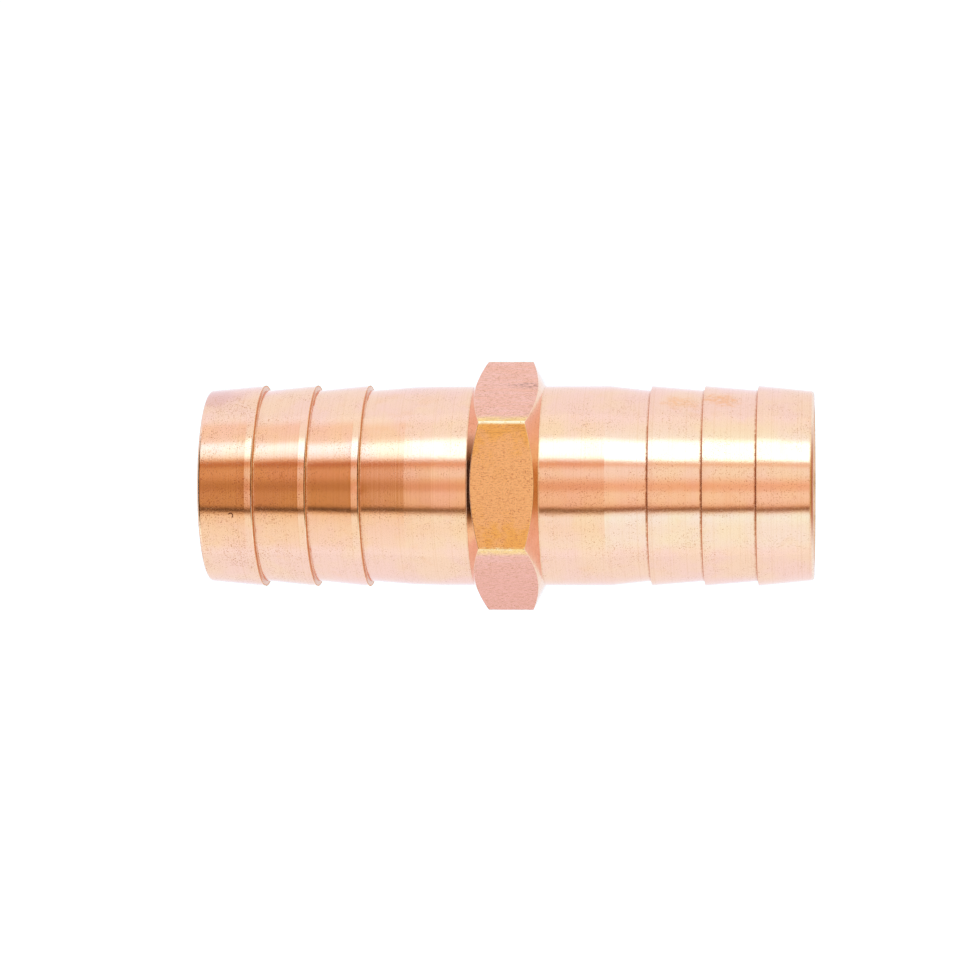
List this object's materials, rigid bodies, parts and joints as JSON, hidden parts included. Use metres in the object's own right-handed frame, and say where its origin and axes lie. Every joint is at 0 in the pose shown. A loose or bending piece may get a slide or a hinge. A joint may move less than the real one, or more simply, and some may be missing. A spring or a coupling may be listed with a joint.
{
  "type": "barbed hose coupling",
  "caption": "Straight double-ended barbed hose coupling in one piece of brass, with a hexagonal collar between two equal tails and a plain waterway from end to end.",
  "frame": {"origin": "on the waterway's axis at the middle of the hexagonal collar, midway between the two end faces", "axes": "+X along the waterway towards the tail with sharp barbs, +Z out of one flat of the collar, +Y towards one corner of the collar"},
  "size_m": [0.0618, 0.0254, 0.022],
  "materials": {
    "brass": "machined, satin on the turned tails and rougher on the drawn flats"
  },
  "bodies": {
    "root": {"coupling_body": "brass"}
  },
  "joints": []
}
